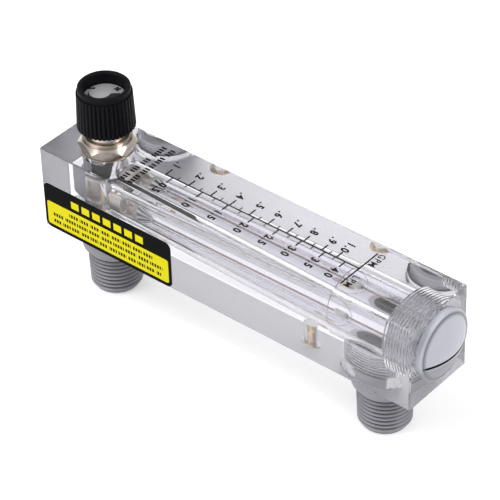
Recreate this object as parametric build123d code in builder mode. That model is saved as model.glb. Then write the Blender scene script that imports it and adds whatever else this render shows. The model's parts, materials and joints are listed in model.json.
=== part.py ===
from build123d import *
import math
import os

os.makedirs("parts", exist_ok=True)

# Frame: origin midway between the two panel inserts on the back face, +X from the inlet to the outlet,
# +Z out of the scale face, -Y towards the label side. Millimetres.

# Clear block
block_length = 173.0
block_width = 32.5
block_height = 36.0
block_edge = 0.5
past = 1.0  # how far a cut runs on beyond the face it opens

# Ports, each set in from its own end of the block
inlet_margin = 20.0
outlet_margin = 23.0
port_spacing = block_length - inlet_margin - outlet_margin
inlet_x = -port_spacing / 2
outlet_x = port_spacing / 2
inlet_end_x = inlet_x - inlet_margin
outlet_end_x = outlet_x + outlet_margin
block_mid_x = (inlet_end_x + outlet_end_x) / 2
bore_depth = 15.6  # from the scale face down to the bore's axis
bore_z = block_height - bore_depth

# Running and seating clearances
seat_gap = 0.05
thread_gap = 0.08
running_gap = 0.06
ring_gap = 0.02

# Pipe fittings, half inch taper thread below the block and a parallel part inside it
pipe_pitch = 1.814
pipe_end_z = -26.9
pipe_end_r = 8.7
pipe_crest_r = 10.05
pipe_depth = 0.95
pipe_taper = 1 / 32
pipe_lead_in = 1.2
pipe_bore_r = 6.0
pipe_bore_break = 0.5
neck_r = 10.4
neck_z = -10.4
skirt_r = 12.25
skirt_z = -7.8
shoulder_drop = 15.1
shoulder_z = bore_z - shoulder_drop
port_ring_seat = 1.1
skirt_top_z = shoulder_z - port_ring_seat
port_mouth = 0.6
inner_r = 11.05
inner_edge = 0.6
fitting_top_drop = 7.4
fitting_top_z = bore_z - fitting_top_drop

# O-ring sections
port_ring_wire = 0.52
plug_ring_wire = 0.8
bonnet_ring_wire = 0.7
stem_ring_wire = 0.62
ring_sides = 6

# Tapered metering bore
stop_setback = 10.0
taper_setback = 19.5
outlet_setback = 16.0
stop_x = inlet_x + stop_setback
taper_start_x = inlet_x + taper_setback
taper_end_x = outlet_x - outlet_setback
taper_start_r = 6.33
taper_end_r = 9.36
passage_r = 5.0
outlet_chamber_r = 10.0

# End plug
plug_hole_depth = 13.5
plug_reach = 11.7
plug_hole_x = outlet_end_x - plug_hole_depth
plug_start_x = outlet_end_x - plug_reach
plug_body_r = 12.9
plug_body_edge = 0.8
plug_gland_r = 13.6
plug_gland_depth = 1.9
plug_head_r = 13.8
plug_rim = 2.5
plug_rim_edge = 0.5
plug_lip = 1.3
plug_dome_rise = 6.4
plug_dome_fullness = 0.76
plug_slot_width = 0.9
plug_slot_depth = 2.2
plug_slot_drop = 3.0
plug_socket_depth = 4.0
plug_dish_r = 8.5
plug_dish_depth = 1.6

# Guide rod, its stops and the float
rod_r = 0.8
rod_inset = 0.4
stop_length = 6.0
stop_hub_r = 2.1
stop_nose = 0.8
stop_wall = 0.9
stop_web = 1.1
stop_web_count = 3
float_rest_gap = 0.45
float_tail_length = 4.8
float_cone_length = 5.1
float_tip_length = 1.2
float_head_r = 6.1
float_rim = 0.7
float_neck_r = 2.4
float_tip_r = 1.35
float_tail_r = 2.2
float_bore_r = 0.95
flute_count = 10
flute_side = 0.9
upper_stop_length = 5.0
upper_stop_r = 2.3
upper_stop_edge = 0.4
upper_stop_inset = 1.6
float_tail_x = stop_x + seat_gap + stop_length + float_rest_gap
float_edge_x = float_tail_x + float_tail_length
float_flute_end_x = float_edge_x + float_cone_length
float_tip_x = float_flute_end_x + float_tip_length
upper_stop_x = taper_end_x - upper_stop_inset

# Needle valve
seat_drop = 5.4
seat_floor_z = bore_z - seat_drop
seat_height = 2.5
seat_hole_r = 3.9
seat_hole_edge = 0.35
seat_passage_r = 5.0
seat_pocket_r = 7.6
seat_pocket_depth = 4.0
valve_chamber_r = 9.6
chamber_floor_z = seat_floor_z + seat_pocket_depth
bonnet_reach = 3.6
bonnet_nose = 3.7
bonnet_seat_z = block_height - bonnet_reach
bonnet_nose_z = bonnet_seat_z - bonnet_nose
sleeve_r = 5.2
sleeve_clear = 0.4
sleeve_z = chamber_floor_z + sleeve_clear
bonnet_thread_r = 10.2
bonnet_pitch = 0.95
bonnet_depth = 0.4
hex_across_flats = 19.6
hex_height = 4.8
hex_edge = 0.33
hex_edge_angle = 50.0
hex_turn = 40.4
hex_top_z = block_height + hex_height
shoulder_r = 8.4
shoulder_height = 1.1
shoulder_top_z = hex_top_z + shoulder_height
neck_groove_r = 6.7
neck_groove_width = 0.6
neck_groove_z = shoulder_top_z + neck_groove_width
bonnet_neck_r = 7.2
bonnet_height = 12.0
bonnet_top_z = block_height + bonnet_height
bonnet_neck_edge = 0.5
stem_plug_r = 3.7
stem_shank_r = 3.0
stem_shoulder_z = block_height - 6.0
stem_thread_top_z = block_height - 1.4
packing_bore_r = 3.65
bush_pocket_r = 4.8
bush_pocket_depth = 4.3
bush_pocket_z = bonnet_top_z - bush_pocket_depth
bush_height = 2.2
clip_depth = 1.8
clip_z = bonnet_top_z - clip_depth
clip_height = 0.8
clip_r = 5.25
clip_inner_r = 3.5
clip_gap_angle = 50.0
needle_reach = 0.4
needle_length = 3.6
needle_tip_z = seat_floor_z - needle_reach
needle_root_z = needle_tip_z + needle_length
needle_tip_r = 1.6
needle_round = 0.5
stem_ring_spacing = 2.3
stem_ring_z = (block_height, block_height + stem_ring_spacing)
stem_end = 7.0
stem_top_z = bonnet_top_z + stem_end
flat_length = 5.0
flat_start_z = stem_top_z - flat_length
flat_offset = 2.3

# Control knob
knob_overlap = 1.7
knob_height = 17.4
knob_band = 2.7
knob_bottom_z = bonnet_top_z - knob_overlap
knob_top_z = knob_bottom_z + knob_height
knob_band_z = knob_top_z - knob_band
knob_top_r = 9.9
knob_skirt_top_r = 10.5
knob_skirt_r = 11.05
knob_rim_round = 0.5
knob_under_r = 8.6
knob_under_depth = 5.7
knob_web_z = knob_bottom_z + knob_under_depth
knob_dish_depth = 5.5
knob_web_top_z = knob_top_z - knob_dish_depth
knob_dish_r = 8.1
knob_dish_edge = 0.6
screw_seat_depth = 2.2
screw_seat_z = knob_web_top_z - screw_seat_depth
screw_pocket_r = 3.6
rib_count = 40
rib_share = 0.5  # share of the pitch that is rib, the rest is groove
rib_depth = 0.05  # of the knob's radius
dial_r = 7.9
dial_height = 0.7
screw_r = 1.5
screw_head_r = 2.9
screw_head_top_r = 2.0
screw_head_height = 1.9
screw_length = 7.0
screw_drive_width = 0.8
screw_drive_depth = 0.9

# Panel inserts on the back face
insert_spacing = 76.2
insert_r = 3.0
insert_length = 5.9
insert_flange_r = 4.3
insert_flange = 0.8
insert_hole_r = 2.05
insert_pitch = 2.4
insert_barb = 0.35
insert_pocket_depth = 9.3

# Side label
label_margin = 0.9
label_length = 63.2
label_bottom_z = 0.6
label_height = 20.4
label_corner = 2.6
label_thickness = 0.2


def upright(x):
    """Sketch plane through a vertical axis at x: local x is radius, local y is height."""
    return Plane(origin=(x, 0, 0), x_dir=(1, 0, 0), z_dir=(0, -1, 0))


def upright_axis(x):
    return Axis((x, 0, 0), (0, 0, 1))


bore_plane = Plane(origin=(0, 0, bore_z), x_dir=(1, 0, 0), z_dir=(0, -1, 0))
bore_axis = Axis((0, 0, bore_z), (1, 0, 0))


def ridges(start, end, pitch, crest_r, depth, taper=0.0):
    """Points (radius, height) up the row of whole thread ridges that fits between two heights."""
    points = [(crest_r - depth, start)]
    for turn in range(int((end - start) / pitch)):
        crest = crest_r + taper * turn * pitch
        points.append((crest, start + (turn + 0.5) * pitch))
        points.append((crest - depth, start + (turn + 1) * pitch))
    return points


def ring_centre_r(outer_r, wire):
    """Centre line radius of a ring that touches a wall of the given radius."""
    return outer_r - wire - ring_gap


# Clear block: one solid with the stepped, tapered bore, both port holes, the valve hole and the insert
# pockets.
port_hole = [
    (0, 0),
    (skirt_r + seat_gap + port_mouth, 0),
    (skirt_r + seat_gap, port_mouth),
    (skirt_r + seat_gap, shoulder_z),
    (inner_r + thread_gap, shoulder_z),
    (inner_r + thread_gap, fitting_top_z + seat_gap),
    (0, fitting_top_z + seat_gap),
]

valve_hole = [
    (0, fitting_top_z - past),
    (seat_passage_r, fitting_top_z - past),
    (seat_passage_r, seat_floor_z),
    (seat_pocket_r, seat_floor_z),
    (seat_pocket_r, chamber_floor_z),
    (valve_chamber_r, chamber_floor_z),
    (valve_chamber_r, bonnet_seat_z),
    (bonnet_thread_r + thread_gap, bonnet_seat_z),
    (bonnet_thread_r + thread_gap, block_height + past),
    (0, block_height + past),
]

flow_bore = [
    (inlet_x, 0),
    (inlet_x, passage_r),
    (stop_x, passage_r),
    (stop_x, taper_start_r),
    (taper_start_x, taper_start_r),
    (taper_end_x, taper_end_r),
    (taper_end_x, outlet_chamber_r),
    (plug_hole_x, outlet_chamber_r),
    (plug_hole_x, plug_body_r + thread_gap),
    (outlet_end_x - plug_gland_depth, plug_body_r + thread_gap),
    (outlet_end_x - plug_gland_depth, plug_gland_r),
    (outlet_end_x + past, plug_gland_r),
    (outlet_end_x + past, 0),
]

insert_pocket = [
    (0, -past),
    (insert_flange_r + seat_gap, -past),
    (insert_flange_r + seat_gap, insert_flange + seat_gap),
    (insert_r + seat_gap, insert_flange + seat_gap),
    (insert_r + seat_gap, insert_pocket_depth),
    (0, insert_pocket_depth),
]

with BuildPart() as acrylic_body:
    with BuildSketch(Plane.XY):
        with Locations((block_mid_x, 0)):
            Rectangle(block_length, block_width)
    extrude(amount=block_height)
    chamfer(acrylic_body.edges(), block_edge)
    with BuildSketch(bore_plane):
        with BuildLine():
            Polyline(*flow_bore, close=True)
        make_face()
    revolve(axis=bore_axis, mode=Mode.SUBTRACT)
    with BuildSketch(upright(inlet_x)):
        with BuildLine():
            Polyline(*valve_hole, close=True)
        make_face()
    revolve(axis=upright_axis(inlet_x), mode=Mode.SUBTRACT)
    for x in (inlet_x, outlet_x):
        with BuildSketch(upright(x)):
            with BuildLine():
                Polyline(*port_hole, close=True)
            make_face()
        revolve(axis=upright_axis(x), mode=Mode.SUBTRACT)
    for x in (-insert_spacing / 2, insert_spacing / 2):
        with BuildSketch(upright(x)):
            with BuildLine():
                Polyline(*insert_pocket, close=True)
            make_face()
        revolve(axis=upright_axis(x), mode=Mode.SUBTRACT)
acrylic_body.part.label = "acrylic_body"
export_step(acrylic_body.part, "parts/acrylic_body.step")


# Pipe fittings: taper thread and skirt below, ring seat and the part screwed into the block above
port_ring_r = ring_centre_r(skirt_r + seat_gap, port_ring_wire)
fitting_outline = [(pipe_bore_r + pipe_bore_break, pipe_end_z), (pipe_end_r, pipe_end_z)]
fitting_outline += ridges(
    pipe_end_z + pipe_lead_in, neck_z, pipe_pitch, pipe_crest_r, pipe_depth, pipe_taper
)
fitting_outline += [
    (neck_r, neck_z),
    (neck_r, skirt_z),
    (skirt_r, skirt_z),
    (skirt_r, skirt_top_z),
    (port_ring_r - port_ring_wire - ring_gap, skirt_top_z),
    (port_ring_r - port_ring_wire - ring_gap, shoulder_z - seat_gap),
    (inner_r, shoulder_z - seat_gap),
    (inner_r, fitting_top_z - inner_edge),
    (inner_r - inner_edge, fitting_top_z),
    (pipe_bore_r, fitting_top_z),
    (pipe_bore_r, pipe_end_z + pipe_bore_break),
]

for name, x in (("inlet_fitting", inlet_x), ("outlet_fitting", outlet_x)):
    with BuildPart() as fitting:
        with BuildSketch(upright(x)):
            with BuildLine():
                Polyline(*fitting_outline, close=True)
            make_face()
        revolve(axis=upright_axis(x))
    fitting.part.label = name
    export_step(fitting.part, f"parts/{name}.step")

    with BuildPart() as fitting_ring:
        with BuildSketch(upright(x)):
            with Locations((port_ring_r, skirt_top_z + port_ring_wire + ring_gap)):
                RegularPolygon(port_ring_wire, ring_sides)
        revolve(axis=upright_axis(x))
    fitting_ring.part.label = f"{name}_o_ring"
    export_step(fitting_ring.part, f"parts/{name}_o_ring.step")


# End plug: body, gland for its ring, rim and domed head with a slot
plug_undercut_r = ring_centre_r(plug_gland_r, plug_ring_wire) - plug_ring_wire - ring_gap
plug_head_x = outlet_end_x + seat_gap
plug_dome_r = plug_head_r - plug_lip
dome_base_x = plug_head_x + plug_rim
dome_crown_x = plug_head_x + plug_dome_rise

with BuildPart() as end_plug:
    with BuildSketch(bore_plane):
        with BuildLine():
            body = [
                (plug_start_x + plug_dish_depth, 0),
                (plug_start_x + plug_dish_depth, plug_dish_r - plug_dish_depth),
                (plug_start_x + seat_gap, plug_dish_r),
                (plug_start_x + seat_gap, plug_body_r - plug_body_edge),
                (plug_start_x + seat_gap + plug_body_edge, plug_body_r),
                (outlet_end_x - plug_gland_depth, plug_body_r),
                (outlet_end_x - plug_gland_depth, plug_undercut_r),
                (plug_head_x, plug_undercut_r),
                (plug_head_x, plug_head_r),
                (dome_base_x - plug_rim_edge, plug_head_r),
                (dome_base_x, plug_head_r - plug_rim_edge),
                (dome_base_x, plug_dome_r),
            ]
            Polyline(*body)
            ThreePointArc(
                (dome_base_x, plug_dome_r),
                (dome_base_x + (dome_crown_x - dome_base_x) * plug_dome_fullness, plug_dome_r / 2),
                (dome_crown_x, 0),
            )
            Line((dome_crown_x, 0), body[0])
        make_face()
    revolve(axis=bore_axis)
    with BuildSketch(Plane(origin=(0, 0, bore_z - plug_slot_drop), z_dir=(0, 0, 1))):
        with Locations((dome_crown_x, 0)):
            Rectangle(2 * (dome_crown_x - dome_base_x + plug_slot_depth / 2), 2 * plug_head_r - 2 * plug_lip)
    extrude(amount=plug_slot_width / 2, both=True, mode=Mode.SUBTRACT)
    with BuildSketch(Plane(origin=(plug_start_x + plug_dish_depth, 0, bore_z), z_dir=(1, 0, 0))):
        Circle(rod_r + seat_gap)
    extrude(amount=plug_socket_depth, mode=Mode.SUBTRACT)
end_plug.part.label = "end_plug"
export_step(end_plug.part, "parts/end_plug.step")

with BuildPart() as end_plug_o_ring:
    with BuildSketch(bore_plane):
        with Locations(
            (
                outlet_end_x - plug_gland_depth + plug_ring_wire + ring_gap,
                ring_centre_r(plug_gland_r, plug_ring_wire),
            )
        ):
            RegularPolygon(plug_ring_wire, ring_sides)
    revolve(axis=bore_axis)
end_plug_o_ring.part.label = "end_plug_o_ring"
export_step(end_plug_o_ring.part, "parts/end_plug_o_ring.step")


# Guide rod on the bore's axis, from the inlet stop to the socket in the end plug
rod_start_x = stop_x + rod_inset
rod_end_x = plug_start_x + plug_dish_depth + plug_socket_depth - seat_gap
with BuildPart() as guide_rod:
    with BuildSketch(Plane(origin=(rod_start_x, 0, bore_z), z_dir=(1, 0, 0))):
        Circle(rod_r)
    extrude(amount=rod_end_x - rod_start_x)
guide_rod.part.label = "guide_rod"
export_step(guide_rod.part, "parts/guide_rod.step")

# Inlet stop: ring, webs and a hub that carries the rod and the resting float
stop_plane = Plane(origin=(stop_x + seat_gap, 0, bore_z), z_dir=(1, 0, 0))
with BuildPart() as lower_float_stop:
    with BuildSketch(stop_plane):
        Circle(taper_start_r - seat_gap)
        Circle(taper_start_r - seat_gap - stop_wall, mode=Mode.SUBTRACT)
        Circle(stop_hub_r)
        with PolarLocations((taper_start_r - stop_wall / 2) / 2, stop_web_count):
            Rectangle(taper_start_r - stop_wall, stop_web)
        Circle(rod_r, mode=Mode.SUBTRACT)
    extrude(amount=stop_length - stop_nose)
    with BuildSketch(stop_plane.offset(stop_length - stop_nose)):
        Circle(stop_hub_r)
        Circle(rod_r, mode=Mode.SUBTRACT)
    extrude(amount=stop_nose)
lower_float_stop.part.label = "lower_float_stop"
export_step(lower_float_stop.part, "parts/lower_float_stop.step")

# Outlet stop: a collar on the rod where the float's climb ends
with BuildPart() as upper_float_stop:
    with BuildSketch(Plane(origin=(upper_stop_x, 0, bore_z), z_dir=(1, 0, 0))):
        Circle(upper_stop_r)
        Circle(rod_r, mode=Mode.SUBTRACT)
    extrude(amount=upper_stop_length)
    chamfer(upper_float_stop.edges().filter_by(GeomType.CIRCLE).group_by(SortBy.RADIUS)[-1], upper_stop_edge)
upper_float_stop.part.label = "upper_float_stop"
export_step(upper_float_stop.part, "parts/upper_float_stop.step")

# Float: tail, sharp reading edge and a fluted cone, bored for the rod
float_outline = [
    (float_tail_x, float_bore_r),
    (float_tail_x, float_tail_r),
    (float_edge_x - float_rim, float_tail_r),
    (float_edge_x, float_head_r - float_rim),
    (float_edge_x, float_head_r),
    (float_edge_x + float_rim, float_head_r),
    (float_flute_end_x, float_neck_r),
    (float_tip_x, float_tip_r),
    (float_tip_x, float_bore_r),
]
cone_length = float_cone_length - float_rim
cone_half_angle = math.degrees(math.atan2(float_head_r - float_neck_r, cone_length))
cone_slant = math.hypot(cone_length, float_head_r - float_neck_r)
with BuildPart() as float_flutes:
    with PolarLocations((float_head_r + float_neck_r) / 2, flute_count):
        Box(flute_side, flute_side, 2 * cone_slant, rotation=(0, -cone_half_angle, 45))
flute_place = Plane(
    origin=((float_edge_x + float_rim + float_flute_end_x) / 2, 0, bore_z), z_dir=(1, 0, 0)
).location
with BuildPart() as float_body:
    with BuildSketch(bore_plane):
        with BuildLine():
            Polyline(*float_outline, close=True)
        make_face()
    revolve(axis=bore_axis)
    add(flute_place * float_flutes.part, mode=Mode.SUBTRACT)
float_body.part.label = "float"
export_step(float_body.part, "parts/float.step")


# Valve seat: a ring in the pocket below the valve chamber
with BuildPart() as valve_seat:
    with BuildSketch(Plane.XY.offset(seat_floor_z + seat_gap)):
        with Locations((inlet_x, 0)):
            Circle(seat_pocket_r - seat_gap)
            Circle(seat_hole_r, mode=Mode.SUBTRACT)
    extrude(amount=seat_height)
    chamfer(valve_seat.faces().sort_by(Axis.Z)[-1].edges().sort_by(SortBy.RADIUS)[0], seat_hole_edge)
valve_seat.part.label = "valve_seat"
export_step(valve_seat.part, "parts/valve_seat.step")

# Valve bonnet: sleeve, nose and thread in the block, hexagon on the face, shoulder and neck above it
bonnet_gland_r = ring_centre_r(valve_chamber_r, bonnet_ring_wire)
gland_low_z = (bonnet_nose_z + bonnet_seat_z) / 2 - bonnet_ring_wire - ring_gap
gland_high_z = (bonnet_nose_z + bonnet_seat_z) / 2 + bonnet_ring_wire + ring_gap
bonnet_outline = [
    (stem_plug_r + running_gap, sleeve_z),
    (sleeve_r, sleeve_z),
    (sleeve_r, bonnet_nose_z),
    (valve_chamber_r - seat_gap, bonnet_nose_z),
    (valve_chamber_r - seat_gap, gland_low_z),
    (bonnet_gland_r - bonnet_ring_wire - ring_gap, gland_low_z),
    (bonnet_gland_r - bonnet_ring_wire - ring_gap, gland_high_z),
    (valve_chamber_r - seat_gap, gland_high_z),
    (valve_chamber_r - seat_gap, bonnet_seat_z + seat_gap),
]
bonnet_outline += ridges(
    bonnet_seat_z + seat_gap, block_height - bonnet_depth, bonnet_pitch, bonnet_thread_r, bonnet_depth
)
bonnet_outline += [
    (bonnet_thread_r, block_height - bonnet_depth),
    (bonnet_thread_r, block_height + seat_gap),
    (shoulder_r, block_height + seat_gap),
    (shoulder_r, shoulder_top_z),
    (neck_groove_r, shoulder_top_z),
    (neck_groove_r, neck_groove_z),
    (bonnet_neck_r, neck_groove_z),
    (bonnet_neck_r, bonnet_top_z - bonnet_neck_edge),
    (bonnet_neck_r - bonnet_neck_edge, bonnet_top_z),
    (bush_pocket_r, bonnet_top_z),
    (bush_pocket_r, clip_z + clip_height + seat_gap),
    (clip_r + seat_gap, clip_z + clip_height + seat_gap),
    (clip_r + seat_gap, clip_z - seat_gap),
    (bush_pocket_r, clip_z - seat_gap),
    (bush_pocket_r, bush_pocket_z),
    (packing_bore_r, bush_pocket_z),
    (packing_bore_r, stem_thread_top_z),
    (stem_plug_r + running_gap, stem_thread_top_z),
]
with BuildPart() as hexagon:
    with BuildSketch(Plane.XY.offset(block_height + seat_gap)):
        with Locations((inlet_x, 0)):
            RegularPolygon(hex_across_flats / 2, 6, major_radius=False, rotation=hex_turn)
            Circle(shoulder_r - past, mode=Mode.SUBTRACT)
    extrude(amount=hex_top_z - block_height - seat_gap)
    with BuildSketch(upright(inlet_x)):
        with BuildLine():
            corner_r = hex_across_flats / math.sqrt(3) + seat_gap
            flat_r = hex_across_flats / 2 - hex_edge
            fall = (corner_r - flat_r) * math.tan(math.radians(hex_edge_angle))
            Polyline(
                (0, block_height),
                (flat_r, block_height),
                (corner_r, block_height + fall),
                (corner_r, hex_top_z - fall),
                (flat_r, hex_top_z),
                (0, hex_top_z),
                close=True,
            )
        make_face()
    revolve(axis=upright_axis(inlet_x), mode=Mode.INTERSECT)
with BuildPart() as valve_bonnet:
    with BuildSketch(upright(inlet_x)):
        with BuildLine():
            Polyline(*bonnet_outline, close=True)
        make_face()
    revolve(axis=upright_axis(inlet_x))
    add(hexagon.part)
valve_bonnet.part.label = "valve_bonnet"
export_step(valve_bonnet.part, "parts/valve_bonnet.step")

with BuildPart() as bonnet_o_ring:
    with BuildSketch(upright(inlet_x)):
        with Locations((bonnet_gland_r, (gland_low_z + gland_high_z) / 2)):
            RegularPolygon(bonnet_ring_wire, ring_sides)
    revolve(axis=upright_axis(inlet_x))
bonnet_o_ring.part.label = "bonnet_o_ring"
export_step(bonnet_o_ring.part, "parts/bonnet_o_ring.step")

# Guide bush for the stem and the clip that keeps it in the neck
with BuildPart() as stem_guide_bush:
    with BuildSketch(Plane.XY.offset(bush_pocket_z + seat_gap)):
        with Locations((inlet_x, 0)):
            Circle(bush_pocket_r - seat_gap)
            Circle(stem_shank_r + running_gap, mode=Mode.SUBTRACT)
    extrude(amount=bush_height)
stem_guide_bush.part.label = "stem_guide_bush"
export_step(stem_guide_bush.part, "parts/stem_guide_bush.step")

with BuildPart() as retaining_clip:
    with BuildSketch(Plane.XY.offset(clip_z)):
        with Locations((inlet_x, 0)):
            Circle(clip_r)
            Circle(clip_inner_r, mode=Mode.SUBTRACT)
            with BuildLine(mode=Mode.PRIVATE) as mouth:
                reach = 2 * clip_r
                half = math.radians(clip_gap_angle / 2)
                Polyline(
                    (0, 0),
                    (-reach * math.cos(half), reach * math.sin(half)),
                    (-reach * math.cos(half), -reach * math.sin(half)),
                    close=True,
                )
            add(make_face(mouth.edges(), mode=Mode.PRIVATE), mode=Mode.SUBTRACT)
    extrude(amount=clip_height)
retaining_clip.part.label = "retaining_clip"
export_step(retaining_clip.part, "parts/retaining_clip.step")

# Valve stem: metering needle, threaded plug, grooved shank with a flat for the knob and a screw hole
stem_groove_r = packing_bore_r - running_gap - 2 * stem_ring_wire - ring_gap
stem_outline = [
    (0, needle_tip_z),
    (needle_tip_r - needle_round, needle_tip_z),
    (needle_tip_r, needle_tip_z + needle_round),
    (stem_plug_r, needle_root_z),
    (stem_plug_r, stem_shoulder_z - needle_round),
    (stem_plug_r - needle_round, stem_shoulder_z),
    (stem_shank_r, stem_shoulder_z),
]
for z in stem_ring_z:
    stem_outline += [
        (stem_shank_r, z - stem_ring_wire - ring_gap),
        (stem_groove_r, z - stem_ring_wire - ring_gap),
        (stem_groove_r, z + stem_ring_wire + ring_gap),
        (stem_shank_r, z + stem_ring_wire + ring_gap),
    ]
stem_outline += [
    (stem_shank_r, stem_top_z),
    (screw_r, stem_top_z),
    (screw_r, screw_seat_z - screw_length - past),
    (0, screw_seat_z - screw_length - past),
]
with BuildPart() as valve_stem:
    with BuildSketch(upright(inlet_x)):
        with BuildLine():
            Polyline(*stem_outline, close=True)
        make_face()
    revolve(axis=upright_axis(inlet_x))
    with BuildSketch(Plane.XY.offset(flat_start_z)):
        with Locations((inlet_x - flat_offset - stem_shank_r / 2, 0)):
            Rectangle(stem_shank_r, 2 * stem_shank_r)
    extrude(amount=stem_top_z - flat_start_z, mode=Mode.SUBTRACT)
valve_stem.part.label = "valve_stem"
export_step(valve_stem.part, "parts/valve_stem.step")

with BuildPart() as stem_o_rings:
    for z in stem_ring_z:
        with BuildSketch(upright(inlet_x)):
            with Locations((packing_bore_r - running_gap - stem_ring_wire, z)):
                RegularPolygon(stem_ring_wire, ring_sides)
        revolve(axis=upright_axis(inlet_x))
stem_o_rings.part.label = "stem_o_rings"
export_step(stem_o_rings.part, "parts/stem_o_rings.step")


# Control knob: ribbed skirt, plain band, hollow underside, flatted hub and a dished top for the dial
def ribs(radius):
    """Outline of the ribbed skirt at the height where its ribs reach the given radius."""
    pitch = 2 * math.pi / rib_count
    points = []
    for rib in range(rib_count):
        for share, reach in ((0, 1), (rib_share, 1), ((1 + rib_share) / 2, 1 - rib_depth)):
            angle = (rib + share) * pitch
            points.append((radius * reach * math.cos(angle), radius * reach * math.sin(angle)))
    return points


knob_band_outline = [
    (0, knob_band_z),
    (knob_top_r, knob_band_z),
    (knob_top_r, knob_top_z - knob_rim_round),
    (knob_top_r - knob_rim_round, knob_top_z),
    (0, knob_top_z),
]
knob_underside = [
    (0, knob_bottom_z - past),
    (knob_under_r, knob_bottom_z - past),
    (knob_under_r, knob_web_z),
    (stem_shank_r + seat_gap, knob_web_z),
    (stem_shank_r + seat_gap, screw_seat_z - past),
    (screw_r + seat_gap, screw_seat_z - past),
    (screw_r + seat_gap, screw_seat_z),
    (0, screw_seat_z),
]
knob_dish = [
    (0, screw_seat_z),
    (screw_pocket_r, screw_seat_z),
    (screw_pocket_r, knob_web_top_z),
    (knob_dish_r, knob_web_top_z),
    (knob_dish_r, knob_top_z - knob_dish_edge),
    (knob_dish_r + knob_dish_edge, knob_top_z),
    (knob_dish_r + knob_dish_edge, knob_top_z + past),
    (0, knob_top_z + past),
]
with BuildPart() as control_knob:
    for z, radius in ((knob_bottom_z, knob_skirt_r), (knob_band_z, knob_skirt_top_r)):
        with BuildSketch(Plane(origin=(inlet_x, 0, z))):
            with BuildLine():
                Polyline(*ribs(radius), close=True)
            make_face()
    loft(ruled=True)
    for outline, mode in (
        (knob_band_outline, Mode.ADD),
        (knob_underside, Mode.SUBTRACT),
        (knob_dish, Mode.SUBTRACT),
    ):
        with BuildSketch(upright(inlet_x)):
            with BuildLine():
                Polyline(*outline, close=True)
            make_face()
        revolve(axis=upright_axis(inlet_x), mode=mode)
    with BuildSketch(Plane.XY.offset(knob_web_z)):
        with Locations((inlet_x - flat_offset - seat_gap - stem_shank_r / 2, 0)):
            Rectangle(stem_shank_r, 2 * stem_shank_r)
    extrude(amount=screw_seat_z - past - knob_web_z)
control_knob.part.label = "control_knob"
export_step(control_knob.part, "parts/control_knob.step")

with BuildPart() as knob_dial:
    with BuildSketch(Plane.XY.offset(knob_web_top_z)):
        with Locations((inlet_x, 0)):
            Circle(dial_r)
    extrude(amount=dial_height)
    chamfer(knob_dial.edges().group_by(Axis.Z)[-1], dial_height / 4)
knob_dial.part.label = "knob_dial"
export_step(knob_dial.part, "parts/knob_dial.step")

with BuildPart() as knob_screw:
    with BuildSketch(upright(inlet_x)):
        with BuildLine():
            Polyline(
                (0, screw_seat_z - screw_length),
                (screw_r - seat_gap, screw_seat_z - screw_length),
                (screw_r - seat_gap, screw_seat_z),
                (screw_head_r, screw_seat_z),
                (screw_head_r, screw_seat_z + screw_head_height / 2),
                (screw_head_top_r, screw_seat_z + screw_head_height),
                (0, screw_seat_z + screw_head_height),
                close=True,
            )
        make_face()
    revolve(axis=upright_axis(inlet_x))
    with BuildSketch(Plane.XY.offset(screw_seat_z + screw_head_height - screw_drive_depth)):
        with Locations((inlet_x, 0)):
            Rectangle(2 * screw_head_r, screw_drive_width)
    extrude(amount=screw_drive_depth, mode=Mode.SUBTRACT)
knob_screw.part.label = "knob_screw"
export_step(knob_screw.part, "parts/knob_screw.step")


# Barbed, tapped inserts that take the panel screws
insert_outline = [
    (insert_hole_r, 0),
    (insert_flange_r, 0),
    (insert_flange_r, insert_flange),
]
insert_outline += ridges(insert_flange, insert_length, insert_pitch, insert_r, insert_barb)
insert_outline += [
    (insert_r - insert_barb, insert_length),
    (insert_hole_r, insert_length),
]
with BuildPart() as mounting_inserts:
    for x in (-insert_spacing / 2, insert_spacing / 2):
        with BuildSketch(upright(x)):
            with BuildLine():
                Polyline(*insert_outline, close=True)
            make_face()
        revolve(axis=upright_axis(x))
mounting_inserts.part.label = "mounting_inserts"
export_step(mounting_inserts.part, "parts/mounting_inserts.step")

# Label stuck on the side face
with BuildPart() as side_label:
    with BuildSketch(Plane(origin=(0, -block_width / 2, 0), x_dir=(1, 0, 0), z_dir=(0, -1, 0))):
        with Locations((inlet_end_x + label_margin + label_length / 2, label_bottom_z + label_height / 2)):
            RectangleRounded(label_length, label_height, label_corner)
    extrude(amount=label_thickness)
side_label.part.label = "side_label"
export_step(side_label.part, "parts/side_label.step")
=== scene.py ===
import json
import math

import bmesh
import bpy
from mathutils import Matrix, Vector


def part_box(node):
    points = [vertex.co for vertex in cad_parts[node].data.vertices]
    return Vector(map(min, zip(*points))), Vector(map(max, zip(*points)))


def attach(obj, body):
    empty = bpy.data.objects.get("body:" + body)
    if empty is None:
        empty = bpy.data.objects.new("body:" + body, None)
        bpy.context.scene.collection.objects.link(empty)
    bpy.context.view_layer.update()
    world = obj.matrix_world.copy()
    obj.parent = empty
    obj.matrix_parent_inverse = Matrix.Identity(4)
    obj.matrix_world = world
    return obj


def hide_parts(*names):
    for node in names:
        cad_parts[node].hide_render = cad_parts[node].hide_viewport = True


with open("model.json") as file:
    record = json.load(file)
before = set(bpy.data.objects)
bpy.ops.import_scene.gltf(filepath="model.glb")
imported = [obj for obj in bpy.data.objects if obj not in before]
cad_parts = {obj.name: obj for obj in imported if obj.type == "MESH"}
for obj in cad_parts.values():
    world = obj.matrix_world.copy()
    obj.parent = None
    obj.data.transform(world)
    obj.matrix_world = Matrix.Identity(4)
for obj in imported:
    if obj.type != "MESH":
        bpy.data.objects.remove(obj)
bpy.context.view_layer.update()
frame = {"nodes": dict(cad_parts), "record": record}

# Finishes, printed scale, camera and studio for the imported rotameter

MM = 0.001
BODY = "meter"

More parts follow.
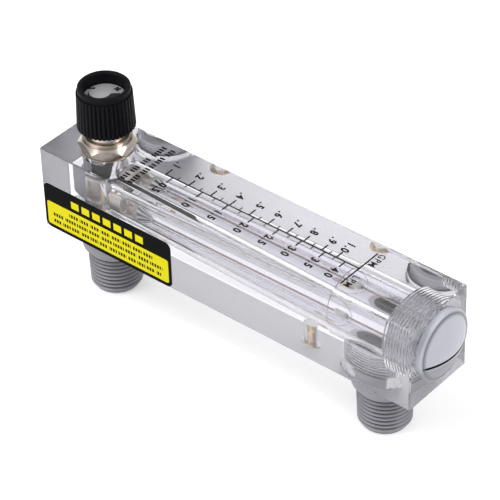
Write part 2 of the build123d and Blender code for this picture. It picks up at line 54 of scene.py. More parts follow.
# Block, bore and valve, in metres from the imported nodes

BLOCK_LOW, BLOCK_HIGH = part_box("acrylic_body")
FACE_Z = BLOCK_HIGH.z
BLOCK_MID_Y = (BLOCK_LOW.y + BLOCK_HIGH.y) / 2
FLOOR_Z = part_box("inlet_fitting")[0].z
DIAL_LOW, DIAL_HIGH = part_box("knob_dial")
VALVE_X = (DIAL_LOW.x + DIAL_HIGH.x) / 2
LABEL_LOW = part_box("side_label")[0]
ROD_LOW, ROD_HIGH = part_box("guide_rod")
BORE_Z = (ROD_LOW.z + ROD_HIGH.z) / 2
FLOAT_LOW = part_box("float")[0]
OUTLET_LOW, OUTLET_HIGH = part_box("outlet_fitting")
OUTLET_X = (OUTLET_LOW.x + OUTLET_HIGH.x) / 2


# Shader graphs

class Signal:
    """A node's output; arithmetic on it adds Math nodes to its graph."""

    def __init__(self, graph, socket):
        self.graph = graph
        self.socket = socket

    def math(self, operation, *others):
        inputs = dict(enumerate((self, *others)))
        return self.graph.node("ShaderNodeMath", inputs, operation=operation)

    def __add__(self, other):
        return self.math("ADD", other)

    def __radd__(self, other):
        return self.math("ADD", other)

    def __sub__(self, other):
        return self.math("SUBTRACT", other)

    def __rsub__(self, other):
        return self.graph.node("ShaderNodeMath", {0: other, 1: self}, operation="SUBTRACT")

    def __mul__(self, other):
        return self.math("MULTIPLY", other)

    def __rmul__(self, other):
        return self.math("MULTIPLY", other)

    def __truediv__(self, other):
        return self.math("DIVIDE", other)

    def __pow__(self, other):
        return self.math("POWER", other)

    def __abs__(self):
        return self.math("ABSOLUTE")

    def __lt__(self, other):
        return self.math("LESS_THAN", other)

    def __gt__(self, other):
        return self.math("GREATER_THAN", other)

    def larger(self, other):
        return self.math("MAXIMUM", other)

    def within(self, low, high):
        """1 between two values and 0 outside them."""
        return (self > low) * (self < high)

    def fade(self, low, high):
        """0 at low and 1 at high, clamped."""
        inputs = {"Value": self, "From Min": low, "From Max": high}
        return self.graph.node("ShaderNodeMapRange", inputs, clamp=True)


class Graph:
    """The nodes of one material or world."""

    def __init__(self, tree, output):
        self.tree = tree
        tree.nodes.clear()
        self.output = tree.nodes.new(output)

    def node(self, kind, inputs=(), out=0, **settings):
        """Adds a node of any kind; an input is a signal or a constant."""
        made = self.tree.nodes.new(kind)
        for key, value in settings.items():
            setattr(made, key, value)
        for key, value in dict(inputs).items():
            if isinstance(value, Signal):
                self.tree.links.new(value.socket, made.inputs[key])
            else:
                made.inputs[key].default_value = value
        return Signal(self, made.outputs[out])

    def surface(self, shader):
        """Ends the graph in a shader."""
        self.tree.links.new(shader.socket, self.output.inputs["Surface"])

    def ray(self, kind):
        """1 for rays of one kind and 0 for others."""
        return self.node("ShaderNodeLightPath", out=kind)


class Finish(Graph):
    """One procedural material, laid out in object coordinates."""

    def __init__(self, name, **constants):
        self.material = bpy.data.materials.new(name)
        self.material.use_nodes = True
        super().__init__(self.material.node_tree, "ShaderNodeOutputMaterial")
        self.shader = self.principled(constants)
        self.surface(self.shader)
        self.coordinates = self.node("ShaderNodeTexCoord", out="Object")

    def principled(self, constants):
        """Principled shader with constant inputs, in whose names an underscore is a space."""
        inputs = {name.replace("_", " "): value for name, value in constants.items()}
        return self.node("ShaderNodeBsdfPrincipled", inputs)

    def cover(self, share, **constants):
        """Lays a second, opaque shader over the first by share."""
        second = self.principled(constants)
        self.surface(self.node("ShaderNodeMixShader", {0: share, 1: self.shader, 2: second}))

    def feed(self, name, signal):
        """Drives an input of the first shader."""
        self.tree.links.new(signal.socket, self.shader.socket.node.inputs[name])

    def bump(self, height, depth, strength):
        """Drives the normal by a height signal; depth is its relief in millimetres."""
        inputs = {"Height": height, "Distance": depth * MM, "Strength": strength}
        self.feed("Normal", self.node("ShaderNodeBump", inputs))

    def place(self, centre=(0, 0, 0), stretch=(1, 1, 1)):
        """Object coordinates in millimetres, measured from a centre and stretched by axis."""
        scale = [share / MM for share in stretch]
        inputs = {0: self.coordinates, 1: tuple(centre)}
        moved = self.node("ShaderNodeVectorMath", inputs, operation="SUBTRACT")
        return self.node("ShaderNodeVectorMath", {0: moved, 1: scale}, operation="MULTIPLY")

    def axes(self, centre=(0, 0, 0)):
        """x, y and z of a point in millimetres from a centre."""
        split = self.node("ShaderNodeSeparateXYZ", {0: self.place(centre)}).socket.node
        return [Signal(self, output) for output in split.outputs]

    def noise(self, scale, detail, rough, stretch=(1, 1, 1)):
        """Noise from 0 to 1; scale is cells a millimetre."""
        place = self.place(stretch=stretch)
        inputs = {"Vector": place, "Scale": scale, "Detail": detail, "Roughness": rough}
        return self.node("ShaderNodeTexNoise", inputs)

    def bands(self, point, scale, detail):
        """Noise along one axis, given as a point's coordinate; scale is cells a millimetre."""
        place = self.node("ShaderNodeCombineXYZ", point)
        return self.node("ShaderNodeTexNoise", {"Vector": place, "Scale": scale, "Detail": detail})

    def mix(self, share, first, second):
        """Colour between two colours."""
        first, second = [c if isinstance(c, Signal) else (*c, 1) for c in (first, second)]
        inputs = {0: share, 6: first, 7: second}
        return self.node("ShaderNodeMix", inputs, out=2, data_type="RGBA")


# Shapes that the finishes paint, in millimetres

PHOTO_TURN = math.radians(41)


def ring_distance(a, b):
    """Distance from an axis, from the two coordinates across it."""
    return (a * a + b * b) ** 0.5


def bar_mask(across, up, half_across, half_up):
    """1 inside a bar about the origin and 0 outside it."""
    return (abs(across) < half_across) * (abs(up) < half_up)


def across_photo(x, y):
    """Distance from left to right in the photograph, from x and y."""
    return x * math.cos(PHOTO_TURN) + y * math.sin(PHOTO_TURN)


def away_from_photo(x, y):
    """Distance from the photograph's viewer, from x and y."""
    return y * math.cos(PHOTO_TURN) - x * math.sin(PHOTO_TURN)


# Clear acrylic. Along is measured from the block's inlet end, up from its back face.

BORE_UP = (BORE_Z - BLOCK_LOW.z) / MM
VALVE_ALONG = (VALVE_X - BLOCK_LOW.x) / MM
OUTLET_ALONG = (OUTLET_X - BLOCK_LOW.x) / MM
PORT_MID = (OUTLET_ALONG + VALVE_ALONG) / 2
PORT_HALF = (OUTLET_ALONG - VALVE_ALONG) / 2
ACRYLIC_CLARITY = 0.95
ACRYLIC_IOR = 1.49
ACRYLIC_DEEP = (0.83, 0.825, 0.87)
ACRYLIC_PALE = (0.87, 0.865, 0.91)
SMEAR_ROUGH = 0.01
TAP_PITCH = 1.27
TAP_DEPTH = 0.6
TAP_EDGE = 0.4
PLUG_TAP = (159.5, 171.0)
PLUG_TAP_R = (12.6, 13.2)
PLUG_TAP_ROUGH = 0.14
PORT_TAP = (5.35, 13.0)
PORT_TAP_R = (10.9, 11.4)
PORT_TAP_ROUGH = 0.4
CHAMBER_R = (9.3, 9.9)
CHAMBER_Z = (14.0, 32.6)
CHAMBER_ROUGH = 0.08
# Painted shade: the chamber's wall on the left of the view is covered grey.
CHAMBER_SHADE_EDGE = -6.2
CHAMBER_SHADE_SHARE = 0.9
FACE_SKIN = 0.05
BACK_ROUGH = 0.7
# The sawn inlet end is frosted and covered grey: partly its own frosted look, partly painted shade for
# the dim light behind it.
SAWN_ROUGH = 0.25
SAWN_SHARE = 0.4
SAW_MARK_STRETCH = (1, 0.12, 2.5)
SAW_MARK_ROUGH = 0.2
SAW_MARK_SHARE = 0.35
FROST_AND_SHADE_COLOUR = (0.30, 0.30, 0.34, 1)
DULL_ROUGH = 0.6


def tapped_ridges(along, start, end):
    """Ridge height from 0 to 1 along a tapped hole, and 0 outside its length."""
    depth = along - start
    return depth.math("PINGPONG", TAP_PITCH / 2) * (2 / TAP_PITCH) * depth.within(0, end - start)


def clear_acrylic():
    f = Finish("clear_acrylic", Transmission_Weight=ACRYLIC_CLARITY, IOR=ACRYLIC_IOR)
    x, y, z = f.axes((BLOCK_LOW.x, BLOCK_MID_Y, BLOCK_LOW.z))
    smear = f.noise(scale=0.05, detail=4, rough=0.6)
    saw_marks = f.noise(scale=0.6, detail=4, rough=0.7, stretch=SAW_MARK_STRETCH)
    plug_r = ring_distance(y, z - BORE_UP)
    plug_tap = tapped_ridges(x, *PLUG_TAP) * plug_r.within(*PLUG_TAP_R)
    port_r = ring_distance(abs(x - PORT_MID) - PORT_HALF, y)
    port_tap = tapped_ridges(z, *PORT_TAP) * port_r.within(*PORT_TAP_R)
    valve_x = x - VALVE_ALONG
    chamber = ring_distance(valve_x, y).within(*CHAMBER_R) * z.within(*CHAMBER_Z)
    # Painted shade on the chamber's wall, on its left side as seen.
    chamber_rim_shade = chamber * (across_photo(valve_x, y) < CHAMBER_SHADE_EDGE)
    sawn = x < FACE_SKIN
    back = z < FACE_SKIN
    roughness = (
        port_tap.fade(0, TAP_EDGE) * PORT_TAP_ROUGH
        + plug_tap.fade(0, TAP_EDGE) * PLUG_TAP_ROUGH
        + chamber * CHAMBER_ROUGH
        + sawn * (saw_marks * SAW_MARK_ROUGH + SAWN_ROUGH)
        + back * BACK_ROUGH
        + smear * SMEAR_ROUGH
    )
    f.feed("Base Color", f.mix(smear, ACRYLIC_DEEP, ACRYLIC_PALE))
    f.feed("Roughness", roughness)
    f.bump(plug_tap + port_tap, depth=TAP_DEPTH, strength=1.0)
    # Grey cover: the frosted sawn end with painted shade, and painted shade on the chamber's left wall.
    frost_and_shade = sawn * (saw_marks * SAW_MARK_SHARE + SAWN_SHARE) + chamber_rim_shade * CHAMBER_SHADE_SHARE
    f.cover(frost_and_shade, Base_Color=FROST_AND_SHADE_COLOUR, Roughness=DULL_ROUGH)
    return f.material


# Gray plastic of both fittings, from their axes and the block's back face. Their pipes taper downwards.
# Painted light lies on their parts inside the block and inside the inlet, painted shade in the thread
# roots and inside the outlet.

FITTING_DEEP = (0.29, 0.285, 0.32)
FITTING_PALE = (0.37, 0.365, 0.40)
# Painted light: the fittings' parts inside the block are painted pale.
FITTING_LIT_IN_BLOCK = (0.82, 0.815, 0.86)
IN_BLOCK_ABOVE = (4.5, 6.0)
PIPE_CREST_R = 10.83
PIPE_TAPER = 1 / 32
PIPE_THREAD = (-25.8, -11.0)
# Painted shade in the roots of the pipe threads.
PIPE_ROOT_SHADE_DEPTH = (0.3, 0.95)
PIPE_ROOT_SHADE = (0.07, 0.07, 0.085)
PIPE_INSIDE_R = 8.6
# Painted shade inside the outlet's bore.
OUTLET_INSIDE_SHADE = (0.006, 0.006, 0.008)
# Painted light inside the inlet's bore.
INLET_INSIDE_LIGHT = (0.86, 0.86, 0.90)


def grey_plastic():
    f = Finish("grey_plastic", Specular_IOR_Level=0.45)
    x, y, z = f.axes(((VALVE_X + OUTLET_X) / 2, BLOCK_MID_Y, BLOCK_LOW.z))
    mottle = f.noise(scale=0.35, detail=4, rough=0.6)
    grain = f.noise(scale=6, detail=2, rough=0.6)
    pipe_r = ring_distance(abs(x) - PORT_HALF, y)
    below_crest = z * PIPE_TAPER + PIPE_CREST_R - pipe_r
    # Painted shade, darker towards the thread roots.
    root_shade = below_crest.fade(*PIPE_ROOT_SHADE_DEPTH) * z.within(*PIPE_THREAD)
    inside = pipe_r < PIPE_INSIDE_R
    colour = f.mix(mottle, FITTING_DEEP, FITTING_PALE)
    # Painted light on the fitting above the block's back face.
    colour = f.mix(z.fade(*IN_BLOCK_ABOVE), colour, FITTING_LIT_IN_BLOCK)
    # Painted shade inside the outlet's bore.
    colour = f.mix(inside * (x > 0), colour, OUTLET_INSIDE_SHADE)
    # Painted light inside the inlet's bore.
    colour = f.mix(inside * (x < 0), colour, INLET_INSIDE_LIGHT)
    f.feed("Base Color", f.mix(root_shade, colour, PIPE_ROOT_SHADE))
    f.feed("Roughness", mottle * 0.16 + 0.36)
    f.bump(grain, depth=0.03, strength=0.5)
    return f.material


# Plastic of the end plug, from the bore's axis and the block's outlet end. Its head has painted shade
# on its lower part, in a crease ring and in its slot, and its part inside the block is painted light.

PLUG_DEEP = (0.46, 0.465, 0.52)
PLUG_PALE = (0.57, 0.575, 0.64)
# Painted light: the plug's part inside the block is painted pale.
PLUG_LIT_IN_BLOCK = (0.66, 0.665, 0.71)
PLUG_SHADE = (0.29, 0.29, 0.33)
PLUG_SHADE_Z = (-2.4, -5.5)
# Painted shade in the crease ring around the head's dome.
PLUG_CREASE_SHADE = (0.17, 0.17, 0.20)
PLUG_CREASE_R = 12.4
PLUG_CREASE_HALF = 1.1
# Painted shade in the head's slot.
PLUG_SLOT_SHADE = (0.012, 0.012, 0.015)
PLUG_SLOT_R = 11.6
PLUG_SLOT_Z = -3.0
PLUG_SLOT_HALF = 0.62


def pale_plug_plastic():
    f = Finish("pale_plug_plastic", Specular_IOR_Level=0.5)
    x, y, z = f.axes((BLOCK_HIGH.x, 0, BORE_Z))
    mottle = f.noise(scale=0.18, detail=4, rough=0.6)
    grain = f.noise(scale=5, detail=2, rough=0.6)
    radius = ring_distance(y, z)
    outside = x > 0
    shade = z.fade(*PLUG_SHADE_Z) * outside
    # Painted shade in the crease ring.
    crease_shade = abs(radius - PLUG_CREASE_R).fade(PLUG_CREASE_HALF, 0) * outside
    # Painted shade in the slot.
    slot_shade = (abs(z - PLUG_SLOT_Z) < PLUG_SLOT_HALF) * (radius < PLUG_SLOT_R) * outside
    head = f.mix(mottle, PLUG_DEEP, PLUG_PALE)
    head = f.mix(shade, head, PLUG_SHADE)
    head = f.mix(crease_shade, head, PLUG_CREASE_SHADE)
    head = f.mix(slot_shade, head, PLUG_SLOT_SHADE)
    # Painted light on the plug's part inside the block.
    f.feed("Base Color", f.mix(outside, PLUG_LIT_IN_BLOCK, head))
    f.feed("Roughness", mottle * 0.12 + 0.3)
    f.bump(grain, depth=0.02, strength=0.4)
    return f.material


# Rubber, white plastic, black plastic and ink

RUBBER_CLEAN = (0.018, 0.018, 0.02)
RUBBER_DUSTY = (0.05, 0.05, 0.055)
WHITE_DEEP = (0.78, 0.78, 0.75)
WHITE_PALE = (0.86, 0.86, 0.84)
BLACK_DEEP = (0.004, 0.004, 0.006)
BLACK_RUBBED = (0.009, 0.009, 0.012)
INK_DEEP = (0.002, 0.002, 0.003)
INK_WORN = (0.006, 0.006, 0.007)


def seal_rubber():
    f = Finish("seal_rubber", Specular_IOR_Level=0.35)
    dust = f.noise(scale=1.2, detail=4, rough=0.7)
    f.feed("Base Color", f.mix(dust, RUBBER_CLEAN, RUBBER_DUSTY))
    f.feed("Roughness", dust * 0.3 + 0.5)
    return f.material


def white_plastic():
    f = Finish("white_plastic")
    cloud = f.noise(scale=0.5, detail=3, rough=0.5)
    f.feed("Base Color", f.mix(cloud, WHITE_DEEP, WHITE_PALE))
    f.feed("Roughness", cloud * 0.2 + 0.35)
    return f.material


def black_plastic():
    f = Finish("black_plastic", Specular_IOR_Level=0.07)
    grain = f.noise(scale=5, detail=3, rough=0.7)
    rubbed = f.noise(scale=0.25, detail=4, rough=0.6)
    f.feed("Base Color", f.mix(rubbed, BLACK_DEEP, BLACK_RUBBED))
    f.feed("Roughness", rubbed * 0.15 + grain * 0.08 + 0.40)
    f.bump(grain, depth=0.02, strength=0.4)
    return f.material


def scale_ink():
    f = Finish("scale_ink", Specular_IOR_Level=0.08)
    wear = f.noise(scale=1.5, detail=3, rough=0.6)
    f.feed("Base Color", f.mix(wear, INK_DEEP, INK_WORN))
    f.feed("Roughness", wear * 0.2 + 0.6)
    return f.material


# Metals. The bonnet is bright above the block's front face and cream below it, where the pale, less
# metallic cream is painted light.

ROD_COLOURS = ((0.26, 0.20, 0.17), (0.36, 0.29, 0.25))
STOP_COLOURS = ((0.66, 0.60, 0.52), (0.78, 0.72, 0.64))
STEM_COLOURS = ((0.62, 0.54, 0.45), (0.76, 0.68, 0.59))
BRASS_COLOURS = ((0.78, 0.58, 0.30), (0.90, 0.74, 0.46))
NICKEL_COLOURS = ((0.54, 0.48, 0.42), (0.68, 0.62, 0.56))
NICKEL_LIT_IN_BLOCK = (0.86, 0.78, 0.68)
NICKEL_IN_BLOCK_DULL = 0.75
NICKEL_IN_BLOCK_ROUGH = 0.3


def turned_metal(name, colours, along_x, roughness):
    """Metal with turning marks about the x or the z axis."""
    f = Finish(name, Metallic=1.0)
    rings = f.bands({0: f.axes()[0 if along_x else 2]}, scale=9, detail=3)
    stain = f.noise(scale=0.4, detail=3, rough=0.6)
    f.feed("Base Color", f.mix(stain, *colours))
    f.feed("Roughness", rings * 0.14 + roughness)
    f.bump(rings, depth=0.01, strength=0.6)
    return f.material


def insert_brass():
    f = Finish("insert_brass", Metallic=1.0)
    tarnish = f.noise(scale=0.9, detail=4, rough=0.65)
    f.feed("Base Color", f.mix(tarnish, *BRASS_COLOURS))
    f.feed("Roughness", tarnish * 0.25 + 0.2)
    return f.material


def nickel_plate():
    f = Finish("nickel_plate")
    z = f.axes((VALVE_X, 0, FACE_Z))[2]
    polish = f.bands({2: z}, scale=5, detail=4)
    cloud = f.noise(scale=0.35, detail=4, rough=0.6)
    # Painted light: below the front face the plate is painted pale cream and less metallic.
    lit_in_block = z < 0
    plate = f.mix(cloud, *NICKEL_COLOURS)
    f.feed("Base Color", f.mix(lit_in_block, plate, NICKEL_LIT_IN_BLOCK))
    f.feed("Metallic", 1 - lit_in_block * NICKEL_IN_BLOCK_DULL)
    f.feed("Roughness", polish * 0.10 + cloud * 0.08 + lit_in_block * NICKEL_IN_BLOCK_ROUGH + 0.16)
    f.bump(polish, depth=0.008, strength=0.5)
    return f.material


# Float, from its inlet end and the bore's axis. Its flutes are painted dark along part of the cone as
# painted shade, and the steel past the tail is painted near-white, partly a painted reflection of white
# surroundings.

# Partly the steel's pale tone, partly a painted reflection of white surroundings.
FLOAT_STEEL_REFLECTION = ((0.84, 0.83, 0.81), (0.95, 0.94, 0.92))
FLOAT_TAIL = (0.62, 0.56, 0.49)
# Painted shade: the stripes of the flutes.
FLUTE_SHADE_COLOUR = (0.008, 0.008, 0.009)
FLUTES = 10
FLUTE_SHARE = 0.5
FLUTE_REACH = (6.2, 10.2)


def fluted_float():
    f = Finish("fluted_float", Specular_IOR_Level=0.2)
    x, y, z = f.axes((FLOAT_LOW.x, 0, BORE_Z))
    stain = f.noise(scale=0.4, detail=3, rough=0.6)
    turn = y.math("ARCTAN2", z) * FLUTES + math.pi
    flute = turn.math("PINGPONG", math.pi) / math.pi
    # Painted shade in the flutes along part of the cone.
    flute_shade = (flute > FLUTE_SHARE) * x.within(*FLUTE_REACH)
    # Past the tail the float is painted near-white, partly a painted reflection.
    tail_and_reflection = f.mix(x > FLUTE_REACH[0], FLOAT_TAIL, f.mix(stain, *FLOAT_STEEL_REFLECTION))
    f.feed("Base Color", f.mix(flute_shade, tail_and_reflection, FLUTE_SHADE_COLOUR))
    f.feed("Roughness", stain * 0.1 + 0.4)
    return f.material


# Dial, from the knob's axis. Its minus, plus and arrow stand level in the photograph.

DIAL_SILVER = ((0.40, 0.40, 0.42), (0.50, 0.50, 0.52))
DIAL_MARK = (0.006, 0.006, 0.007)
DIAL_MARK_DEPTH = -0.3
DIAL_METALLIC = 0.35
MINUS_MID = (-4.9, 5.0)
PLUS_MID = (4.7, 4.0)
MARK_REACH = 1.35
MARK_STROKE = 0.52
ARROW_INNER = (-1.7, 2.6)
ARROW_INNER_R = 4.15
ARROW_OUTER = (-0.6, 1.0)
ARROW_OUTER_R = 5.7
ARROW_TOP = 1.35
ARROW_HEAD_ACROSS = (2.0, 5.3)
ARROW_HEAD_LOW = -1.2
ARROW_HEAD_LEAN = 0.5


def dial_marks(across, up):
    """1 on the dial's marks and 0 beside them."""
    minus = bar_mask(across - MINUS_MID[0], up - MINUS_MID[1], MARK_REACH, MARK_STROKE)
    plus_across, plus_up = across - PLUS_MID[0], up - PLUS_MID[1]
    plus = bar_mask(plus_across, plus_up, MARK_REACH, MARK_STROKE)
    plus = plus.larger(bar_mask(plus_across, plus_up, MARK_STROKE, MARK_REACH))
    past_inner = ring_distance(across - ARROW_INNER[0], up - ARROW_INNER[1]) > ARROW_INNER_R
    in_outer = ring_distance(across - ARROW_OUTER[0], up - ARROW_OUTER[1]) < ARROW_OUTER_R
    below = (up < ARROW_TOP).larger(across < ARROW_INNER[0])
    arrow = past_inner * in_outer * below
    leaning = across - up * ARROW_HEAD_LEAN
    head = leaning.within(*ARROW_HEAD_ACROSS) * up.within(ARROW_HEAD_LOW, ARROW_TOP) * past_inner
    return minus.larger(plus).larger(arrow).larger(head)


def silver_dial():
    f = Finish("silver_dial", Specular_IOR_Level=0.6)
    x, y, z = f.axes((VALVE_X, BLOCK_MID_Y, DIAL_HIGH.z))
    cloud = f.noise(scale=0.4, detail=4, rough=0.6)
    marks = dial_marks(across_photo(x, y), away_from_photo(x, y)) * (z > DIAL_MARK_DEPTH)
    f.feed("Base Color", f.mix(marks, f.mix(cloud, *DIAL_SILVER), DIAL_MARK))
    f.feed("Roughness", cloud * 0.1 + marks * 0.15 + 0.3)
    f.feed("Metallic", (1 - marks) * DIAL_METALLIC)
    return f.material


# Label, from its lower left corner: a yellow panel with rules of strokes, and blocks above it

LABEL_BLACK = (0.002, 0.002, 0.003)
LABEL_YELLOW = ((0.80, 0.72, 0.012), (0.86, 0.78, 0.02))
LABEL_BACK = (0.72, 0.72, 0.74)
LABEL_PRINT_DEPTH = 0.1
PANEL_MID = (31.4, 6.9)
PANEL_HALF = (30.3, 5.3)
PANEL_CORNER = 1.0
BLOCKS_X = (13.0, 50.5)
BLOCKS_Z = (13.9, 17.1)
BLOCK_PITCH = 5.35
BLOCK_BREAK = 0.75
RULES = ((9.8, 12.0, 54.0, 5.3), (6.9, 3.5, 59.0, 6.1), (3.9, 3.5, 58.0, 4.7))
RULE_HALF = 0.75
RULE_BREAK = 0.35
STROKE_PITCH = 1.3
STROKE_BREAK = 0.2


def rule_strokes(x, z):
    """1 on the strokes of the panel's rules and 0 beside them."""
    rules = None
    for height, start, end, pitch in RULES:
        rule = (abs(z - height) < RULE_HALF) * x.within(start, end)
        rule *= (x - start).math("PINGPONG", pitch / 2) > RULE_BREAK
        rules = rule if rules is None else rules.larger(rule)
    return rules * (x.math("PINGPONG", STROKE_PITCH / 2) > STROKE_BREAK)


def label_film():
    f = Finish("label_film", Specular_IOR_Level=0.03)
    x, y, z = f.axes(LABEL_LOW)
    cloud = f.noise(scale=0.2, detail=3, rough=0.5)
    past_x = abs(x - PANEL_MID[0]) - PANEL_HALF[0] + PANEL_CORNER
    past_z = abs(z - PANEL_MID[1]) - PANEL_HALF[1] + PANEL_CORNER
    panel = ring_distance(past_x.larger(0), past_z.larger(0)) < PANEL_CORNER
    blocks = x.within(*BLOCKS_X) * z.within(*BLOCKS_Z)
    blocks *= (x - BLOCKS_X[0]).math("PINGPONG", BLOCK_PITCH / 2) > BLOCK_BREAK
    printed = (panel * (1 - rule_strokes(x, z))).larger(blocks) * (y < LABEL_PRINT_DEPTH)
    face = f.mix(printed, LABEL_BLACK, f.mix(cloud, *LABEL_YELLOW))
    f.feed("Base Color", f.mix(y > LABEL_PRINT_DEPTH, face, LABEL_BACK))
    f.feed("Roughness", cloud * 0.08 + printed * 0.1 + 0.36)
    return f.material


# Each node's finish

GREY = grey_plastic()
RUBBER = seal_rubber()
WHITE = white_plastic()
BRASS = insert_brass()
STEM_METAL = turned_metal("stem_metal", STEM_COLOURS, along_x=False, roughness=0.3)
FINISH_OF_NODE = {
    "acrylic_body": clear_acrylic(),
    "end_plug": pale_plug_plastic(),
    "end_plug_o_ring": RUBBER,
    "inlet_fitting": GREY,
    "outlet_fitting": GREY,
    "inlet_fitting_o_ring": RUBBER,
    "outlet_fitting_o_ring": RUBBER,
    "guide_rod": turned_metal("rod_metal", ROD_COLOURS, along_x=True, roughness=0.12),
    "lower_float_stop": turned_metal("stop_metal", STOP_COLOURS, along_x=True, roughness=0.4),
    "upper_float_stop": WHITE,
    "float": fluted_float(),
    "valve_seat": BRASS,
    "valve_bonnet": nickel_plate(),
    "bonnet_o_ring": RUBBER,
    "stem_guide_bush": WHITE,
    "retaining_clip": STEM_METAL,
    "valve_stem": STEM_METAL,
    "stem_o_rings": RUBBER,
    "control_knob": black_plastic(),
    "knob_dial": silver_dial(),
    "knob_screw": STEM_METAL,
    "mounting_inserts": BRASS,
    "side_label": label_film(),
}
SMOOTH_BELOW = math.radians(32)
MERGE = 0.001 * MM


def smooth_copy(node, finish):
    """A merged, smooth-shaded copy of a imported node, which it stands for."""
    mesh = frame["nodes"][node].data.copy()
    mesh.name = node + "_finished"
    shape = bmesh.new()
    shape.from_mesh(mesh)
    bmesh.ops.remove_doubles(shape, verts=shape.verts, dist=MERGE)
    shape.to_mesh(mesh)
    shape.free()
    packed_normals = mesh.attributes.get("custom_normal")
    if packed_normals:
        mesh.attributes.remove(packed_normals)
    mesh.shade_smooth()
    mesh.set_sharp_from_angle(angle=SMOOTH_BELOW)
    mesh.materials.clear()
    mesh.materials.append(finish)
    piece = bpy.data.objects.new(node + "_finished", mesh)
    bpy.context.scene.collection.objects.link(piece)
    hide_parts(node)
    return piece


BODY_OF_NODE = {
    node: body
    for body, members in frame["record"]["behaviour"]["bodies"].items()
    for node in members
}
for node, finish in FINISH_OF_NODE.items():
    piece = smooth_copy(node, finish)
    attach(piece, BODY_OF_NODE[node])


# Scale printed on the front face, in millimetres. Across runs from left to right as it is read (-Y),
# along from the block's inlet end (+X).

PRINT_RISE = 0.02
PRINT_THICK = 0.03
LINE_WIDTH = 0.62
FINE_WIDTH = 0.45
SCALE_START = 48.3
SCALE_END = 138.2
SCALE_HALF = 10.6
GALLONS = (48.5, 59.6, 69.9, 79.0, 88.2, 96.9, 105.5, 113.2, 121.4, 128.0)
GALLON_FIGURES = [f".{n}" for n in range(1, 10)] + ["1.0"]
GALLON_FIGURES_ACROSS = -6.9
GALLON_TICK = 3.8
LITRES = (52.0, 66.3, 78.6, 90.7, 102.1, 112.6, 123.1, 132.1)
LITRE_FIGURES = [f"{n / 2:.1f}" for n in range(1, 9)]
LITRE_FIGURES_ACROSS = 7.65
LITRE_TICK = 3.7
FIGURE_HEIGHT = 3.2
FIGURE_BOLD = 0.17
FIGURE_EM = 1.42
FIGURE_NARROW = 0.86
FIGURE_SPACING = 1.25
FIGURE_CURVE_STEPS = 3
UNIT_ALONG = 140.6
UNIT_ACROSS = 7.3
UNIT_HEIGHT = 2.8
UNIT_BOLD = 0.06
NOTE_ROWS = (
    (41.2, (-13.0, -7.2, -2.4, 1.0, 6.4), (5.0, 3.9, 2.5, 4.5, 6.5)),
    (37.3, (-12.6, -3.6, 2.2, 7.6), (7.8, 4.6, 4.2, 5.0)),
)
NOTE_HEIGHT = 2.3
NOTE_STROKE = 0.85
NOTE_PITCH = 1.45


def print_place(across, along):
    """Matrix that moves the origin to a point of the scale, half way up its ink."""
    x = BLOCK_LOW.x + along * MM
    y = BLOCK_MID_Y - across * MM
    return Matrix.Translation((x, y, FACE_Z + (PRINT_RISE + PRINT_THICK / 2) * MM))


def print_bar(shape, across, along, width, length):
    """Adds a thin bar, sized across and along the scale."""
    size = Matrix.Diagonal((length * MM, width * MM, PRINT_THICK * MM, 1))
    bmesh.ops.create_cube(shape, size=1, matrix=print_place(across, along) @ size)


def print_figure(shape, text, across, along, height, bold):
    """Adds lettering centred on a point of the scale, its top towards the outlet end."""
    curve = bpy.data.curves.new("figure", "FONT")
    curve.body = text
    curve.size = height * FIGURE_EM * MM
    curve.align_x = "CENTER"
    curve.offset = bold * MM
    curve.space_character = FIGURE_SPACING
    curve.extrude = PRINT_THICK * MM / 2
    curve.resolution_u = FIGURE_CURVE_STEPS
    holder = bpy.data.objects.new("figure", curve)
    bpy.context.scene.collection.objects.link(holder)
    bpy.context.view_layer.update()
    letters = bpy.data.meshes.new_from_object(holder)
    bpy.data.objects.remove(holder)
    turn = Matrix(((0, 1, 0), (-1, 0, 0), (0, 0, 1))).to_4x4()
    narrow = Matrix.Diagonal((FIGURE_NARROW, 1, 1, 1))
    letters.transform(print_place(across, along - height / 2) @ turn @ narrow)
    shape.from_mesh(letters)
    bpy.data.meshes.remove(letters)


def print_side(shape, marks, side, tick, figures, figures_across):
    """One side of the scale: a tick and a figure at each mark, half a tick between two marks."""
    for mark, figure in zip(marks, figures):
        print_bar(shape, side * tick / 2, mark, tick, LINE_WIDTH)
        print_figure(shape, figure, figures_across, mark, FIGURE_HEIGHT, FIGURE_BOLD)
    for low, high in zip(marks, marks[1:]):
        print_bar(shape, side * tick / 4, (low + high) / 2, tick / 2, FINE_WIDTH)


def scale_print():
    shape = bmesh.new()
    middle = (SCALE_START + SCALE_END) / 2
    print_bar(shape, 0, middle, LINE_WIDTH, SCALE_END - SCALE_START)
    print_bar(shape, 0, SCALE_END, 2 * SCALE_HALF, LINE_WIDTH)
    print_side(shape, GALLONS, -1, GALLON_TICK, GALLON_FIGURES, GALLON_FIGURES_ACROSS)
    print_side(shape, LITRES, 1, LITRE_TICK, LITRE_FIGURES, LITRE_FIGURES_ACROSS)
    print_figure(shape, "GPM", -UNIT_ACROSS, UNIT_ALONG, UNIT_HEIGHT, UNIT_BOLD)
    print_figure(shape, "LPM", UNIT_ACROSS, UNIT_ALONG, UNIT_HEIGHT, UNIT_BOLD)
    for along, starts, widths in NOTE_ROWS:
        for start, width in zip(starts, widths):
            for n in range(round(width / NOTE_PITCH)):
                print_bar(shape, start + (n + 0.5) * NOTE_PITCH, along, NOTE_STROKE, NOTE_HEIGHT)
    mesh = bpy.data.meshes.new("scale_print")
    shape.to_mesh(mesh)
    shape.free()
    mesh.materials.append(scale_ink())
    piece = bpy.data.objects.new("scale_print", mesh)
    bpy.context.scene.collection.objects.link(piece)
    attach(piece, BODY)


scale_print()


# Camera, at the photograph's place

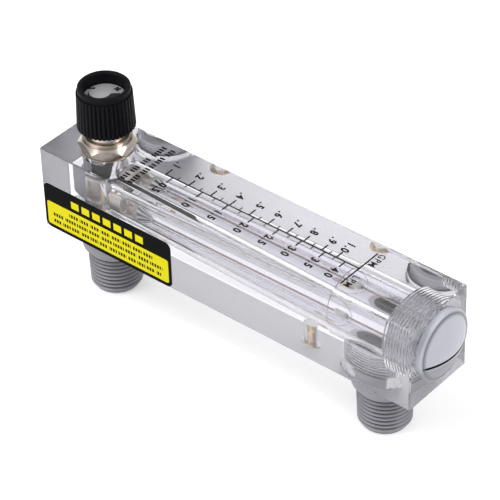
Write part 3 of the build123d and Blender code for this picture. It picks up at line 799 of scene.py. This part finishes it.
CAMERA_PLACE = Vector((0.49175, -0.5605, 0.6016))
CAMERA_AZIMUTH = math.radians(41.08)
CAMERA_ELEVATION = math.radians(38.03)
CAMERA_ROLL = math.radians(-1.87)
CAMERA_CLIP = (0.01, 50)
LENS = 188.06
SENSOR = 36.0


def photo_camera():
    camera = bpy.data.cameras.new("camera")
    camera.lens = LENS
    camera.sensor_width = SENSOR
    camera.clip_start, camera.clip_end = CAMERA_CLIP
    holder = bpy.data.objects.new("camera", camera)
    bpy.context.scene.collection.objects.link(holder)
    level = math.cos(CAMERA_ELEVATION)
    back = Vector((
        math.sin(CAMERA_AZIMUTH) * level,
        -math.cos(CAMERA_AZIMUTH) * level,
        math.sin(CAMERA_ELEVATION),
    ))
    right = (-back).cross(Vector((0, 0, 1))).normalized()
    up = right.cross(-back)
    turn = Matrix((right, up, back)).transposed()
    roll = Matrix.Rotation(CAMERA_ROLL, 3, "Z")
    holder.matrix_world = Matrix.Translation(CAMERA_PLACE) @ (turn @ roll).to_4x4()
    bpy.context.scene.camera = holder


photo_camera()


# Studio: a white floor, an even sky and two lamps that face the object. The floor looks brighter to the
# camera, and floor and sky look brighter through the acrylic, than they light the object.

FLOOR_REACH = 3.0
FLOOR_COLOUR = (0.9, 0.9, 0.9, 1)
FLOOR_SEEN = 0.35
FLOOR_THROUGH = 0.35
SKY_LIGHT = 0.55
SKY_THROUGH = 0.15


def studio_floor():
    shape = bmesh.new()
    bmesh.ops.create_grid(shape, x_segments=1, y_segments=1, size=FLOOR_REACH)
    bmesh.ops.translate(shape, verts=shape.verts, vec=(0, 0, FLOOR_Z))
    mesh = bpy.data.meshes.new("studio_floor")
    shape.to_mesh(mesh)
    shape.free()
    floor = bpy.data.objects.new("studio_floor", mesh)
    bpy.context.scene.collection.objects.link(floor)
    material = bpy.data.materials.new("studio_floor")
    material.use_nodes = True
    graph = Graph(material.node_tree, "ShaderNodeOutputMaterial")
    bent = graph.ray("Is Glossy Ray").larger(graph.ray("Is Transmission Ray"))
    extra = graph.ray("Is Camera Ray") * FLOOR_SEEN + bent * FLOOR_THROUGH
    white = graph.node("ShaderNodeBsdfDiffuse", {"Color": FLOOR_COLOUR})
    glow = graph.node("ShaderNodeEmission", {"Strength": extra})
    graph.surface(graph.node("ShaderNodeAddShader", {0: white, 1: glow}))
    mesh.materials.append(material)


def studio_sky():
    world = bpy.data.worlds.new("studio")
    bpy.context.scene.world = world
    world.use_nodes = True
    graph = Graph(world.node_tree, "ShaderNodeOutputWorld")
    strength = graph.ray("Is Transmission Ray") * SKY_THROUGH + SKY_LIGHT
    inputs = {"Color": (1, 1, 1, 1), "Strength": strength}
    graph.surface(graph.node("ShaderNodeBackground", inputs))


def lamp(name, place, size, watts):
    light = bpy.data.lights.new(name, "AREA")
    light.size = size
    light.energy = watts
    holder = bpy.data.objects.new(name, light)
    bpy.context.scene.collection.objects.link(holder)
    holder.location = place
    holder.rotation_euler = (-Vector(place)).to_track_quat("-Z", "Y").to_euler()


studio_floor()
studio_sky()
lamp("key", place=(-0.5, -0.7, 1.3), size=1.0, watts=14.0)
lamp("fill", place=(0.9, 0.3, 0.9), size=0.5, watts=5.0)
bpy.context.scene.view_settings.view_transform = "Standard"
cycles = bpy.context.scene.cycles
cycles.max_bounces = 24
cycles.transmission_bounces = 24
cycles.glossy_bounces = 8
cycles.sample_clamp_indirect = 1.5

bpy.context.view_layer.update()
